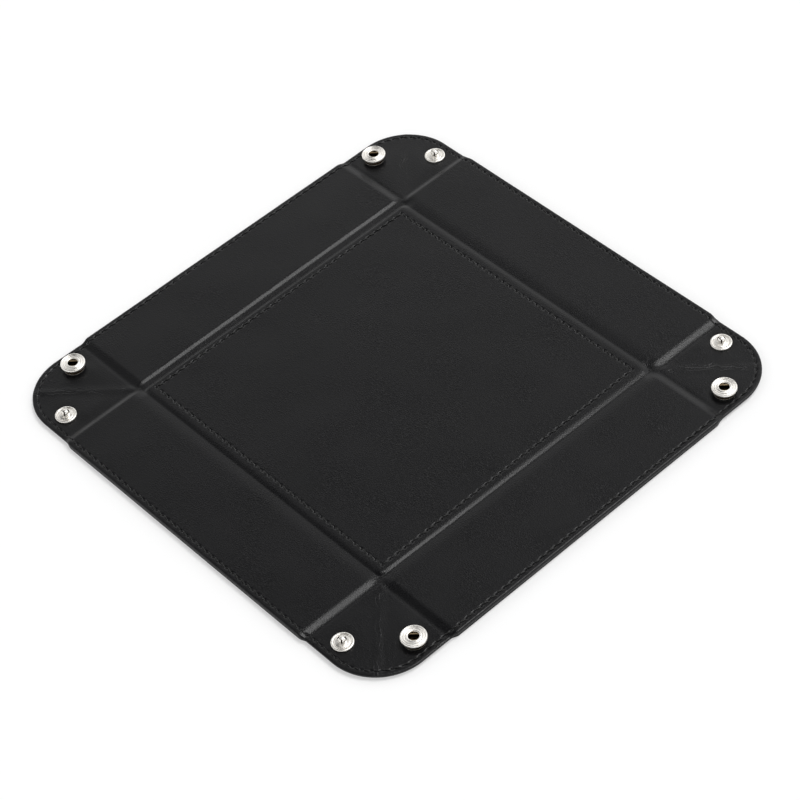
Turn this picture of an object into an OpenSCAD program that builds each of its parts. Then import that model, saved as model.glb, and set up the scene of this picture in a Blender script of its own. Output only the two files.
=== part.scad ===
// Snap-up valet tray in lined leather, laid open and flat.
// A square floor panel has a wall panel folded to each side, and soft corners between the walls.
// Each corner carries a snap socket on one side of its diagonal and a snap stud on the other.
// Origin: middle of the underside, on the table. +Z is up, +X right, +Y back.

/* [Tray] */
// Outer side of the tray laid flat
tray_side = 250; // [220:1:300]
// Width of each wall, from its fold line to its rim
wall_h = 44.5; // [40:0.5:52]
// Radius of the tray's outer corners
corner_r = 27.5; // [20:0.5:32]
// Radius of the turned edge along each wall's rim
rim_r = 1.2; // [0.6:0.1:1.3]

/* [Leather and boards] */
// Thickness of the upper and lower leather
skin_t = 0.9; // [0.8:0.05:1.2]
// Thickness of the stiffening boards
board_t = 1.6; // [1.2:0.1:2.4]
// Play between a board's edge and its pocket
board_play = 0.1; // [0.05:0.05:0.3]

/* [Folds] */
// Gap between two panels at a fold line
fold_gap = 0.3; // [0.2:0.05:0.5]
// Flat leather beside a floor fold line
floor_land = 0.8; // [0.5:0.1:1.4]
// Width of the slope from a floor fold up to the panel
floor_slope = 1.4; // [0.8:0.1:2.5]
// Flat leather beside a corner crease
crease_land = 1.1; // [1:0.1:1.6]
// Width of the slope from a corner crease up to the wall panel
crease_slope = 2.6; // [1.2:0.1:3.2]
// How far the walls rise when the corners are snapped together, in degrees
wall_fold = 75; // [60:1:75]

/* [Stitching] */
// Distance from one stitch to the next
stitch_pitch = 4.3; // [3.5:0.1:6]
// Length of one stitch
stitch_len = 3.3; // [2:0.1:3.4]
// Thickness of the thread
thread_d = 0.7; // [0.5:0.05:0.75]
// Width of the channel that the stitches pull into the leather
channel_w = 1; // [0.8:0.05:1.4]
// Depth of that channel
channel_depth = 0.4; // [0.2:0.05:0.5]
// Distance from the tray's edge to the edge seam
seam_inset = 2.7; // [2.4:0.1:3]
// Distance from a floor fold line to the floor seam
floor_seam_inset = 4.5; // [3.5:0.1:8]

/* [Snaps] */
// Distance from the tray's edge to a snap's centre
snap_inset = 10.3; // [10:0.1:12]
// Distance from a corner crease to a snap's centre
snap_offset = 13.2; // [10:0.1:14]
// Diameter of the caps on the underside
cap_d = 12.5; // [10:0.1:13]
// Radius of a cap's barrel, which is riveted inside its socket or stud
barrel_r = 1.1; // [0.9:0.05:1.15]
// Wall of the barrel
barrel_wall = 0.3; // [0.2:0.05:0.4]
// Play of the barrel in its holes
barrel_play = 0.05; // [0.03:0.01:0.1]
// Diameter of the socket's head
socket_d = 11.7; // [11.4:0.1:12]
// Height of the socket above the leather
socket_h = 3.8; // [3.6:0.1:3.8]
// Diameter of the socket's mouth
mouth_d = 5.1; // [4.8:0.1:5.4]
// Diameter of the spring wire in a socket
wire_d = 0.7; // [0.5:0.05:0.75]
// Diameter of the stud's base
stud_base_d = 10; // [9:0.1:10.4]
// Height of the stud above the leather
stud_h = 3.9; // [3.6:0.1:3.9]
// Diameter of the stud's ball
ball_d = 3.9; // [3.6:0.1:4]

/* [Hidden] */
$fn = 64;

SIDES = ["right", "back", "left", "front"];
ENDS = [-1, 1];
SIDE_COUNT = len(SIDES);
QUARTER = 360 / SIDE_COUNT;

// Reach of every cut past the face it cuts
overrun = 1;

// Half sizes and levels that everything else follows
half = tray_side / 2;
fold_half = half - wall_h;
slit = fold_gap / 2;
panel_t = 2 * skin_t + board_t;
mid_z = panel_t / 2;
fold_z = mid_z + skin_t;
lip_z = mid_z - skin_t;
seam_line = half - seam_inset;
floor_seam_line = fold_half - floor_seam_inset;
round_c = half - corner_r;

// Angle between a corner piece and its wall when both walls stand at wall_fold,
// from the spherical triangle of floor fold, crease and diagonal
ear_fold = acos(cos(wall_fold) / sqrt(1 + pow(sin(wall_fold), 2))) - atan(sin(wall_fold));
// The crease's lower edges lean back by this much, so that they close without meeting
bevel = 2 * skin_t * tan(ear_fold / 2);

// Socket details
flange_d = 9.8;
flange_t = 0.6;
neck_d = 8.6;
neck_bore_d = 6.8;
head_t = 1.8;
chamber_d = 10;
chamber_play = 0.05;
chamber_floor_t = 0.3;
chamber_z = socket_h - head_t + chamber_floor_t;
dish_out_d = 10.2;
dish_in_d = 6.4;
dish_depth = 0.25;
bead_d = 0.5;
rivet_flare_r = 1.9;
rivet_flare_t = 0.4;

// Springs: two straight wires beside the mouth, each with a hooked end both ways
wire_offset = 1.75;
wire_turn = 45;
wire_half_len = 2.3;
hook_r = 1;
hook_turn = 100;

// Stud details
stud_base_t = 1.1;
stud_groove_d = 7;
stud_groove_w = 0.8;
stud_groove_depth = 0.3;
post_d = 2.9;
ball_flat = 1.5;
slot_w = 0.35;
slot_turn = 45;
slot_z = 1.6;
barrel_top_gap = 0.9;

function neighbour(k, e) = SIDES[(k + (e < 0 ? SIDE_COUNT - 1 : 1)) % SIDE_COUNT];
function wall_name(k, part) = str(SIDES[k], "_wall_", part);
function ear_name(k, e, part) = str(SIDES[k], "_wall_", neighbour(k, e), part);
function socket_name(k, e, part) = str(neighbour(k, e), "_", SIDES[k], part);
function stud_name(k, e, part) = str(SIDES[k], "_", neighbour(k, e), part);

SOCKET_SIDES = [0, 2];
STUD_SIDES = [1, 3];
ALL_SIDES = [0, 1, 2, 3];

leather_color = [0.10, 0.10, 0.11];
lining_color = [0.14, 0.14, 0.15];
board_color = [0.45, 0.38, 0.30];
thread_color = [0.05, 0.05, 0.05];
nickel_color = [0.80, 0.79, 0.76];
spring_color = [0.45, 0.38, 0.28];

// Places a piece drawn for the right wall on wall k
module on_wall(k) {
    rotate([0, 0, QUARTER * k]) children();
}

// Places a piece drawn for the front end of the right wall at end e of wall k
module on_ear(k, e) {
    on_wall(k)
        if (e < 0) children();
        else mirror([0, 1, 0]) children();
}

// Stands a section drawn in X and height upright, and runs it along Y for both ways of length
module along_y(length) {
    rotate([90, 0, 0]) linear_extrude(2 * length, center = true) children();
}

// The same, with the section drawn in Y and height, run along X
module along_x(length) {
    rotate([0, 0, 90]) along_y(length) children();
}

// A slab between two heights that covers the whole tray
module level_slab(z_low, z_high) {
    translate([-half - overrun, -half - overrun, z_low])
        cube([tray_side + 2 * overrun, tray_side + 2 * overrun, z_high - z_low]);
}

// Section across a panel that has a fold on both sides: lips at the fold lines,
// slopes up and down to the full panel, and lower edges that lean back by lean
module folded_section(land, slope, lean) {
    lip = fold_half - slit;
    foot = fold_half - land;
    flat = foot - slope;
    polygon([
        [-flat, 0], [flat, 0], [foot, lip_z], [lip - lean, lip_z],
        [lip, fold_z], [foot, fold_z], [flat, panel_t],
        [-flat, panel_t], [-foot, fold_z], [-lip, fold_z],
        [lean - lip, lip_z], [-foot, lip_z]
    ]);
}

// Section across the right wall, from its floor fold to its rounded rim
module wall_section() {
    lip = fold_half + slit;
    foot = fold_half + floor_land;
    flat = foot + floor_slope;
    rim = half - rim_r;
    polygon([
        [lip, lip_z], [foot, lip_z], [flat, 0], [rim, 0],
        [rim, panel_t], [flat, panel_t], [foot, fold_z], [lip, fold_z]
    ]);
    translate([rim, rim_r]) circle(rim_r);
    translate([rim, panel_t - rim_r]) circle(rim_r);
    translate([rim, rim_r]) square([rim_r, panel_t - 2 * rim_r]);
}

module floor_envelope() {
    intersection() {
        along_y(half) folded_section(floor_land, floor_slope, 0);
        along_x(half) folded_section(floor_land, floor_slope, 0);
    }
}

module wall_envelope() {
    intersection() {
        along_y(half) wall_section();
        along_x(half) folded_section(crease_land, crease_slope, bevel);
    }
}

// Half width of the floor board, and the sides of a wall board
floor_board_half = fold_half - floor_land - floor_slope - board_play;
wall_board_in = fold_half + floor_land + floor_slope + board_play;
wall_board_out = half - skin_t - board_play;
wall_board_half = fold_half - crease_land - crease_slope - board_play;

module floor_board_block(play) {
    side = floor_board_half + play;
    translate([-side, -side, mid_z - board_t / 2]) cube([2 * side, 2 * side, board_t]);
}

module wall_board_block(play) {
    translate([wall_board_in - play, -wall_board_half - play, mid_z - board_t / 2])
        cube([wall_board_out - wall_board_in + 2 * play, 2 * (wall_board_half + play), board_t]);
}

// A square with rounded corners, about the origin
module rounded_square(side_half, r) {
    square([2 * (side_half - r), 2 * side_half], center = true);
    square([2 * side_half, 2 * (side_half - r)], center = true);
    for (x = ENDS, y = ENDS)
        translate([x * (side_half - r), y * (side_half - r)]) circle(r);
}

// Plan of the channel under the edge seam, all round the tray
module edge_channel_plan() {
    difference() {
        rounded_square(seam_line + channel_w / 2, corner_r - seam_inset + channel_w / 2);
        rounded_square(seam_line - channel_w / 2, corner_r - seam_inset - channel_w / 2);
    }
}

// Plan of the channel under the floor seam
module floor_channel_plan() {
    difference() {
        square(2 * floor_seam_line + channel_w, center = true);
        square(2 * floor_seam_line - channel_w, center = true);
    }
}

module channel_up(z_face) {
    translate([0, 0, z_face - channel_depth]) linear_extrude(channel_depth + overrun) children();
}

// On the underside of a panel the thread lies wholly in the leather
module channel_down(depth, z_face) {
    translate([0, 0, z_face - overrun]) linear_extrude(depth + overrun) children();
}

// One stitch, lying along Y
module stitch() {
    rotate([90, 0, 0]) cylinder(d = thread_d, h = stitch_len, center = true);
}

// Heights of the thread's centre in the upper and lower channels
panel_thread_z = panel_t - channel_depth + thread_d / 2;
panel_thread_low_z = thread_d / 2;
ear_thread_z = fold_z - channel_depth + thread_d / 2;
ear_thread_low_z = lip_z + channel_depth - thread_d / 2;

// Floor panel

module floor_board() {
    color(board_color) floor_board_block(0);
}

module floor_top_skin() {
    color(leather_color) difference() {
        intersection() {
            floor_envelope();
            level_slab(mid_z, panel_t + overrun);
        }
        floor_board_block(board_play);
        channel_up(panel_t) floor_channel_plan();
    }
}

module floor_bottom_skin() {
    color(lining_color) difference() {
        intersection() {
            floor_envelope();
            level_slab(-overrun, mid_z);
        }
        floor_board_block(board_play);
        channel_down(thread_d, 0) floor_channel_plan();
    }
}

module floor_seam() {
    count = floor((2 * floor_seam_line - stitch_len) / stitch_pitch);
    color(thread_color)
        for (k = ALL_SIDES, i = [0 : count - 1], z = [panel_thread_z, panel_thread_low_z])
            on_wall(k)
                translate([floor_seam_line, (i - (count - 1) / 2) * stitch_pitch, z]) stitch();
}

// Wall panels

module wall_board(k) {
    color(board_color) on_wall(k) wall_board_block(0);
}

module wall_top_skin(k) {
    color(leather_color) on_wall(k) difference() {
        intersection() {
            wall_envelope();
            level_slab(mid_z, panel_t + overrun);
        }
        wall_board_block(board_play);
        channel_up(panel_t) edge_channel_plan();
    }
}

module wall_bottom_skin(k) {
    color(lining_color) on_wall(k) difference() {
        intersection() {
            wall_envelope();
            level_slab(-overrun, mid_z);
        }
        wall_board_block(board_play);
        channel_down(thread_d, 0) edge_channel_plan();
    }
}

module wall_seam(k) {
    count = floor(2 * wall_board_half / stitch_pitch);
    color(thread_color) on_wall(k)
        for (i = [0 : count - 1], z = [panel_thread_z, panel_thread_low_z])
            translate([seam_line, (i - (count - 1) / 2) * stitch_pitch, z]) stitch();
}

// Corner pieces, drawn at the front end of the right wall

// Plan of the corner piece: from the crease to the diagonal, with the tray's rounded corner
module ear_plan() {
    diagonal_slit = slit * sqrt(2);
    crease_y = -fold_half - slit;
    difference() {
        polygon([
            [fold_half + slit + diagonal_slit, crease_y],
            [half, crease_y],
            [half, diagonal_slit - half]
        ]);
        difference() {
            translate([round_c, -half - overrun]) square(corner_r + overrun);
            translate([round_c, -round_c]) circle(corner_r);
        }
    }
}

// Section of the corner piece in Y and height, with the crease's edge leaning back
module ear_section() {
    crease_y = -fold_half - slit;
    polygon([
        [-half - overrun, lip_z], [crease_y - bevel, lip_z],
        [crease_y, fold_z], [-half - overrun, fold_z]
    ]);
}

module ear_ply(z_low, z_high) {
    intersection() {
        translate([0, 0, z_low]) linear_extrude(z_high - z_low) ear_plan();
        along_x(half + overrun) ear_section();
    }
}

module at_snap(z) {
    translate([half - snap_inset, -fold_half - snap_offset, z]) children();
}

// Hole in the leather for the barrel of a snap's cap
module snap_hole() {
    at_snap(0) cylinder(r = barrel_r + barrel_play, h = panel_t + overrun);
}

module ear(k, e) {
    color(leather_color) on_ear(k, e) difference() {
        ear_ply(mid_z, fold_z);
        channel_up(fold_z) edge_channel_plan();
        snap_hole();
    }
    color(lining_color) on_ear(k, e) difference() {
        ear_ply(lip_z, mid_z);
        channel_down(channel_depth, lip_z) edge_channel_plan();
        snap_hole();
    }
}

// Stitches of the edge seam on a corner piece: straight from the crease, then round the corner
module ear_seam(k, e) {
    straight_len = round_c - fold_half - slit - bevel;
    straight_count = floor(straight_len / stitch_pitch);
    arc_r = corner_r - seam_inset;
    arc_step = stitch_pitch / arc_r * 180 / PI;
    arc_count = floor(QUARTER / 2 / arc_step);
    first_y = -round_c + straight_count * stitch_pitch;
    color(thread_color) on_ear(k, e)
        for (z = [ear_thread_z, ear_thread_low_z]) {
            for (i = [0 : straight_count - 1])
                translate([seam_line, first_y - (i + 1 / 2) * stitch_pitch, z]) stitch();
            for (i = [0 : arc_count - 1])
                translate([round_c, -round_c, z])
                    rotate([0, 0, -(i + 1 / 2) * arc_step])
                        translate([arc_r, 0, 0]) stitch();
        }
}

// Snap hardware, drawn upright on the leather's face at height zero

// A round disc with a rounded edge
module soft_disc(d, t) {
    cylinder(d = d - t, h = t);
    translate([0, 0, t / 2]) rotate_extrude() translate([(d - t) / 2, 0]) circle(d = t);
}

module ring_cut(d_out, d_in, depth) {
    difference() {
        cylinder(d = d_out, h = depth);
        translate([0, 0, -overrun]) cylinder(d = d_in, h = depth + 2 * overrun);
    }
}

module socket_body() {
    head_z = socket_h - head_t;
    difference() {
        union() {
            cylinder(d = flange_d, h = flange_t);
            cylinder(d = neck_d, h = head_z + head_t / 2);
            translate([0, 0, head_z]) soft_disc(socket_d, head_t);
        }
        translate([0, 0, -overrun]) cylinder(r = barrel_r + barrel_play, h = flange_t + 2 * overrun);
        translate([0, 0, flange_t]) cylinder(d = neck_bore_d, h = chamber_z - flange_t);
        translate([0, 0, flange_t]) cylinder(d = mouth_d, h = socket_h);
        translate([0, 0, chamber_z]) cylinder(d = chamber_d, h = wire_d + 2 * chamber_play);
        translate([0, 0, socket_h - dish_depth]) ring_cut(dish_out_d, dish_in_d, dish_depth + overrun);
    }
    translate([0, 0, socket_h - dish_depth]) rotate_extrude()
        translate([(dish_out_d + dish_in_d) / 4, 0]) circle(d = bead_d);
}

// Hooked end of a spring wire, curving away from the mouth
module wire_hook() {
    translate([wire_half_len, hook_r, 0]) rotate([0, 0, -QUARTER])
        rotate_extrude(angle = hook_turn) translate([hook_r, 0]) circle(d = wire_d);
}

module spring_wire() {
    translate([-wire_half_len, 0, 0]) rotate([0, 90, 0]) cylinder(d = wire_d, h = 2 * wire_half_len);
    wire_hook();
    mirror([1, 0, 0]) wire_hook();
}

module socket_spring_pair() {
    for (turn = [0, 180])
        rotate([0, 0, turn])
            translate([0, wire_offset, chamber_z + chamber_play + wire_d / 2]) spring_wire();
}

// Cap on the underside, with its barrel up through the leather and a flared rivet end
module snap_cap(barrel_len, flare) {
    cap_t = lip_z;
    translate([0, 0, -2 * skin_t - cap_t]) {
        soft_disc(cap_d, cap_t);
        difference() {
            union() {
                cylinder(r = barrel_r, h = cap_t + 2 * skin_t + barrel_len);
                if (flare)
                    translate([0, 0, cap_t + 2 * skin_t + barrel_len - rivet_flare_t])
                        cylinder(r = rivet_flare_r, h = rivet_flare_t);
            }
            translate([0, 0, cap_t])
                cylinder(r = barrel_r - barrel_wall, h = 2 * skin_t + barrel_len + overrun);
        }
    }
}

module stud_body() {
    ball_z = stud_h - ball_flat;
    difference() {
        union() {
            soft_disc(stud_base_d, stud_base_t);
            cylinder(d = post_d, h = ball_z);
            intersection() {
                translate([0, 0, ball_z]) sphere(d = ball_d);
                cylinder(d = ball_d + overrun, h = stud_h);
            }
        }
        translate([0, 0, -overrun]) cylinder(r = barrel_r + barrel_play, h = stud_h + 2 * overrun);
        translate([0, 0, stud_base_t - stud_groove_depth])
            ring_cut(stud_groove_d + stud_groove_w, stud_groove_d, stud_groove_depth + overrun);
        for (side = [-1, 1])
            rotate([0, 0, side * slot_turn])
                translate([-ball_d, -slot_w / 2, slot_z]) cube([2 * ball_d, slot_w, stud_h]);
    }
}

module snap_socket(k, e) {
    color(nickel_color) on_ear(k, e) at_snap(fold_z) socket_body();
}

module snap_springs(k, e) {
    color(spring_color) on_ear(k, e) at_snap(fold_z) rotate([0, 0, -e * wire_turn]) socket_spring_pair();
}

module snap_socket_cap(k, e) {
    color(nickel_color) on_ear(k, e) at_snap(fold_z) snap_cap(flange_t + rivet_flare_t, true);
}

module snap_stud(k, e) {
    color(nickel_color) on_ear(k, e) at_snap(fold_z) stud_body();
}

module snap_stud_cap(k, e) {
    color(nickel_color) on_ear(k, e) at_snap(fold_z) snap_cap(stud_h - barrel_top_gap, false);
}

floor_board();
floor_top_skin();
floor_bottom_skin();
floor_seam();

for (k = ALL_SIDES) {
    wall_board(k);
    wall_top_skin(k);
    wall_bottom_skin(k);
    wall_seam(k);
}

for (k = ALL_SIDES, e = ENDS) {
    ear(k, e);
    ear_seam(k, e);
}

for (k = SOCKET_SIDES, e = ENDS) {
    snap_socket(k, e);
    snap_springs(k, e);
    snap_socket_cap(k, e);
}

for (k = STUD_SIDES, e = ENDS) {
    snap_stud(k, e);
    snap_stud_cap(k, e);
}
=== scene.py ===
# %% [markdown]
# # A snap-up valet tray in black leather
#
# This lesson dresses a measured model of a valet tray: a square sheet of lined leather with five stiff
# panels in it, that snaps up at its corners into a shallow dish. The measured model gives every size and
# every joint. Here it gets what can be seen: leather with pressed folds, sunk seams and thread, and
# nickel snaps.
#
# The first cell loads the measured model. Each of its bodies is a thing that moves by itself: the floor,
# the four walls, and the two corner pieces that hang on the ends of each wall.

# %% Load the measured model
import math

import bmesh
import bpy
import numpy as np
from mathutils import Matrix, Vector


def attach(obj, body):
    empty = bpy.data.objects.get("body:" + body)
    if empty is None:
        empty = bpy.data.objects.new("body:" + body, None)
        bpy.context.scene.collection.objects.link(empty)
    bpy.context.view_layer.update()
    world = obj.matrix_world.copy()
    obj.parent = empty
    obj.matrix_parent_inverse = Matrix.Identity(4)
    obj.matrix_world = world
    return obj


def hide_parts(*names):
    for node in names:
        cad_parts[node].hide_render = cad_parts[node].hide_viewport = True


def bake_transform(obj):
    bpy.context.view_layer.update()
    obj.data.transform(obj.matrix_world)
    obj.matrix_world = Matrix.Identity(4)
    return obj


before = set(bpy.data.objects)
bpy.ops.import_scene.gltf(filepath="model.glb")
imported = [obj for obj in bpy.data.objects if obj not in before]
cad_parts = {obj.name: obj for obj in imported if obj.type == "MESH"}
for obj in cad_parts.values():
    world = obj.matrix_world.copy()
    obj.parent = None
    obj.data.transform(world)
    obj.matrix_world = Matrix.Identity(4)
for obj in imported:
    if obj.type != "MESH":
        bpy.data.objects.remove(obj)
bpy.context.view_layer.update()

MM = 0.001

# %% [markdown]
# ## The camera
#
# The photograph was taken with a long lens from the right-hand front corner, 47 degrees above the tray,
# with the camera turned a little clockwise. A long lens far away keeps the tray's sides nearly parallel.
# The numbers came from fitting the outline, the stitched square and the snaps. The camera looks along its
# own -Z, so its three axes are built from the direction back towards it, and then rolled.

# %% Camera
PICTURE_SIDE = 800
FOCAL_PIXELS = 2635.1
CAMERA_AZIMUTH = math.radians(53.037)
CAMERA_ELEVATION = math.radians(47.128)
CAMERA_ROLL = math.radians(-7.979)
CAMERA_DISTANCE = 1185.6
CAMERA_SIDE_SHIFT, CAMERA_UP_SHIFT = 3.059, -7.419

back = Vector((
    math.sin(CAMERA_AZIMUTH) * math.cos(CAMERA_ELEVATION),
    -math.cos(CAMERA_AZIMUTH) * math.cos(CAMERA_ELEVATION),
    math.sin(CAMERA_ELEVATION),
))
level_right = Vector((math.cos(CAMERA_AZIMUTH), math.sin(CAMERA_AZIMUTH), 0))
level_up = back.cross(level_right)
right = math.cos(CAMERA_ROLL) * level_right + math.sin(CAMERA_ROLL) * level_up
up = -math.sin(CAMERA_ROLL) * level_right + math.cos(CAMERA_ROLL) * level_up
place = (back * CAMERA_DISTANCE + right * CAMERA_SIDE_SHIFT + up * CAMERA_UP_SHIFT) * MM

lens = bpy.data.cameras.new("lens")
lens.sensor_width = 36
lens.lens = FOCAL_PIXELS * lens.sensor_width / PICTURE_SIDE
lens.clip_start, lens.clip_end = 0.05, 50
camera = bpy.data.objects.new("camera", lens)
camera.matrix_world = Matrix((
    (right.x, up.x, back.x, place.x),
    (right.y, up.y, back.y, place.y),
    (right.z, up.z, back.z, place.z),
    (0, 0, 0, 1),
))
bpy.context.scene.collection.objects.link(camera)
bpy.context.scene.camera = camera
print("lens, mm:", round(lens.lens, 1), "camera at, mm:", [round(v / MM) for v in place])

# %% [markdown]
# ## Sizes
#
# All sizes are in millimetres, as a leather worker would write them, and are the measured model's own.
# The tray has the same form four times over, once for each wall, so everything is made for the right-hand
# wall and its front corner, and then turned and mirrored into place.

# %% Sizes of the tray
HALF = 125
FOLD = 80.5
PANEL_TOP = 3.4
CORNER_TOP = 2.6
CORNER_UNDER = 0.8
CORNER_R = 27.5
ROUND_C = HALF - CORNER_R
ROLL = 1.2
EDGE_SEAM = 122.3
FLOOR_SEAM = 76
SNAP_X, SNAP_Y = 114.7, 93.7

SIDES = ["right", "back", "left", "front"]
ENDS = [-1, 1]

floor_pitch = 2 * FLOOR_SEAM / 35
wall_pitch = 4.3
wall_seam_end = 17 * wall_pitch
corner_arc_r = EDGE_SEAM - ROUND_C
corner_seam = ROUND_C - wall_seam_end + corner_arc_r * math.pi / 4
corner_pitch = corner_seam / 10
print("stitch pitches, mm:", round(floor_pitch, 3), wall_pitch, round(corner_pitch, 3))


def neighbour(k, end):
    return SIDES[(k + (3 if end < 0 else 1)) % 4]


def wall_body(k):
    return SIDES[k] + "_wall"


def corner_body(k, end):
    return SIDES[k] + "_wall_" + neighbour(k, end) + "_ear"


def to_place(k, end=-1):
    """Turns what is made for the right wall, or mirrors it first for the wall's other end."""
    flip = Matrix.Scale(-1, 4, Vector((0, 1, 0))) if end > 0 else Matrix.Identity(4)
    return Matrix.Rotation(k * math.pi / 2, 4, "Z") @ flip

# %% [markdown]
# ## The form of the leather
#
# Leather over boards never has a sharp corner. It leaves a board's edge steeply and flattens out slowly
# into the fold, and that long soft slope is what catches the light in the photograph. A seam pulls it
# down into a shallow channel, and deeper at each needle hole. A worker gets this form by pressing, so
# here too the sheets are cut flat first, and one rule then presses them: it says how high the leather
# lies at any point.
#
# For the rim and the seams the tray is the same in all its eight parts, so the rule folds them onto one:
# a says how far out a point lies from the middle, and b how far along its side. The folds are set one by
# one and differ a little: each lies where the photograph shows it, and the two at the sides run slightly
# aslant.

# %% Rounding and slopes
def ease(t):
    t = np.clip(t, 0, 1)
    return t * t * (3 - 2 * t)


def out_and_along(x, y):
    ax, ay = np.abs(x), np.abs(y)
    return np.maximum(ax, ay), np.minimum(ax, ay)


def back_to_place(x, y, a, b):
    """Undoes out_and_along for values that belong to the point x, y."""
    wide = np.abs(x) >= np.abs(y)
    return np.sign(x) * np.where(wide, a, b), np.sign(y) * np.where(wide, b, a)


FLOOR_BEND = 77.8


def past_folds(x, y):
    """How far outside the side folds, and outside the front and back folds, a point lies."""
    side_fold = np.where(x > 0, 81.3 + 0.015 * y, 80.0 + 0.007 * y)
    cross_fold = np.where(y > 0, 81.8, 81.1)
    return side_fold, cross_fold, np.abs(x) - side_fold, np.abs(y) - cross_fold


def wall_rise(past, lazy):
    """From 0 in a fold to 1 on the wall. The lazy left fold rises gently first, and then all at once."""
    slow = 0.3 * np.clip(past / 2.6, 0, 1) + 0.7 * ease((past - 2.6) / 2.3)
    return np.where(lazy, slow, ease(np.clip(past / 7, 0, 1) ** 0.65))


def panel_share(x, y):
    """From 0 in the folds and on the corner pieces to 1 on the panels."""
    side_fold, cross_fold, past_x, past_y = past_folds(x, y)
    bend_x = np.clip((np.abs(x) - FLOOR_BEND) / (side_fold + 0.3 - FLOOR_BEND), 0, None)
    bend_y = np.clip((np.abs(y) - FLOOR_BEND) / (cross_fold + 0.3 - FLOOR_BEND), 0, None)
    floor = 1 - ease(np.hypot(bend_x, bend_y) ** 1.6)
    side_end = ease((1.6 - past_y) / 4.7)
    cross_end = ease(np.where(x > 0, (1.6 - past_x) / 4.7, (3.4 - past_x) / 3.2))
    return floor + wall_rise(past_x, x < 0) * side_end + wall_rise(past_y, False) * cross_end


print("outwards over the right fold:", np.round(panel_share(np.arange(77.0, 88.0), 0.0), 2))

# %% [markdown]
# The edge seam runs straight along each wall and then round the corner as an arc, so a point's place
# beside the seam is its distance across it and its distance along it. Needle holes lie at even steps
# along it.

# %% Seams
def beside_edge_seam(a, b):
    da, db = a - ROUND_C, np.clip(b - ROUND_C, 0, None)
    across = np.where(b <= ROUND_C, a - EDGE_SEAM, np.hypot(da, db) - corner_arc_r)
    turned = np.arctan2(db, np.clip(da, 1e-6, None))
    return across, np.where(b <= ROUND_C, b, ROUND_C + corner_arc_r * turned)


def to_needle_hole(along, first, pitch):
    return pitch * (0.5 - np.abs((along - first) / pitch % 1 - 0.5))


CHANNEL_HALF, HOLE_R = 0.95, 0.4


def seam_dip(across, to_hole, channel, hole):
    """A shallow channel that deepens to a funnel at each needle hole, with the hole in its middle."""
    pulled = np.where(np.abs(across) < CHANNEL_HALF, 0.5 + 0.5 * np.cos(np.pi * across / CHANNEL_HALF), 0)
    along = 0.1 + 0.9 * np.exp(-to_hole ** 2)
    return channel * pulled * along + hole * np.exp(-(across ** 2 + to_hole ** 2) / HOLE_R ** 2)


def seam_dips(a, b, channel, hole):
    floor = seam_dip(a - FLOOR_SEAM, to_needle_hole(b, floor_pitch / 2, floor_pitch), channel, hole)
    across, along = beside_edge_seam(a, b)
    to_hole = np.where(
        along < wall_seam_end,
        to_needle_hole(along, wall_pitch / 2, wall_pitch),
        to_needle_hole(along, wall_seam_end + corner_pitch / 2, corner_pitch),
    )
    return np.where(a < FOLD, floor, seam_dip(across, to_hole, channel, hole))


# %% [markdown]
# On top the panels lie at 3.4 mm and the corner pieces at 2.6, and the folds are pressed down between
# them, each to its own depth. Years of folding have left their marks on a corner: it swells to both sides
# of its diagonal, and along the diagonal itself, where its halves are pinched together, it keeps a soft
# ridge. The leather also sinks a little under each snap. The underside is the same the other way up:
# panels on the table, folds and corners 0.8 mm above it.

# %% Heights of the top and of the underside
FLANK_RISE, FLANK_WIDTH = 0.26, 14
RIDGE_RISE, RIDGE_WIDTH = 0.15, 3
SNAP_DIP = 0.06


def corner_flank(x, y):
    """0 along a corner's diagonal and up to 1 beside it, between the folds and the rim."""
    a, b = out_and_along(x, y)
    beside = np.clip((a - b) / math.sqrt(2) / FLANK_WIDTH, 0, 1)
    return beside * ease((b - FOLD - 1) / 9) * ease((HALF - 9 - a) / 9)


def corner_ridge(x, y):
    """The soft ridge along a corner's diagonal, where its two halves are pinched against each other."""
    a, b = out_and_along(x, y)
    return ease(1 - (a - b) / math.sqrt(2) / RIDGE_WIDTH) * ease((b - FOLD) / 2.5)


def fold_dip(x, y):
    """How far the nearest fold is pressed down below the panels."""
    side_dip = np.where(x > 0, 0.48, 0.98)
    cross_dip = np.where(y > 0, 0.42, 0.45)
    return np.where(np.abs(x) > np.abs(y), side_dip, cross_dip)


def top_level(x, y):
    """Height of the top without its seams."""
    _, _, past_x, past_y = past_folds(x, y)
    a, b = out_and_along(x, y)
    corner_dip = PANEL_TOP - CORNER_TOP + 0.1 * ease((3.2 - np.minimum(past_x, past_y)) / 1.8)
    at_corner = ease((b - 75) / 5)
    dip = fold_dip(x, y) * (1 - at_corner) + corner_dip * at_corner
    z = PANEL_TOP - dip * (1 - panel_share(x, y))
    z = z - SNAP_DIP * ease((8 - np.hypot(a - SNAP_X, b - SNAP_Y)) / 2.5)
    return z + FLANK_RISE * corner_flank(x, y) + RIDGE_RISE * corner_ridge(x, y)


def top_height(x, y):
    return top_level(x, y) - seam_dips(*out_and_along(x, y), channel=0.18, hole=0.75)


def under_level(x, y):
    return CORNER_UNDER * (1 - panel_share(x, y)) + FLANK_RISE * corner_flank(x, y)


def under_height(x, y):
    return under_level(x, y) + seam_dips(*out_and_along(x, y), channel=0.5, hole=0.25)


for name, rule in (("top", top_height), ("underside", under_height)):
    heights = [round(float(rule(np.array(x), np.array(y))), 2) for x, y in ((0, 0), (FOLD, 0), (100, 90))]
    print(name, "at the floor, in a fold and on a corner, mm:", heights)

# %% [markdown]
# ## Cutting the sheets
#
# A pressed sheet needs many small faces where it bends, and few where it is flat. By hand one would draw
# a row of points across the sheet, close together over the folds and the seam, and extrude that row again
# and again along the wall. Round the corner the row is spun instead. So the first helper draws a row of
# points, starting from a plane that is merged to a single point, and the others pick edges and push them
# along.

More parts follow.
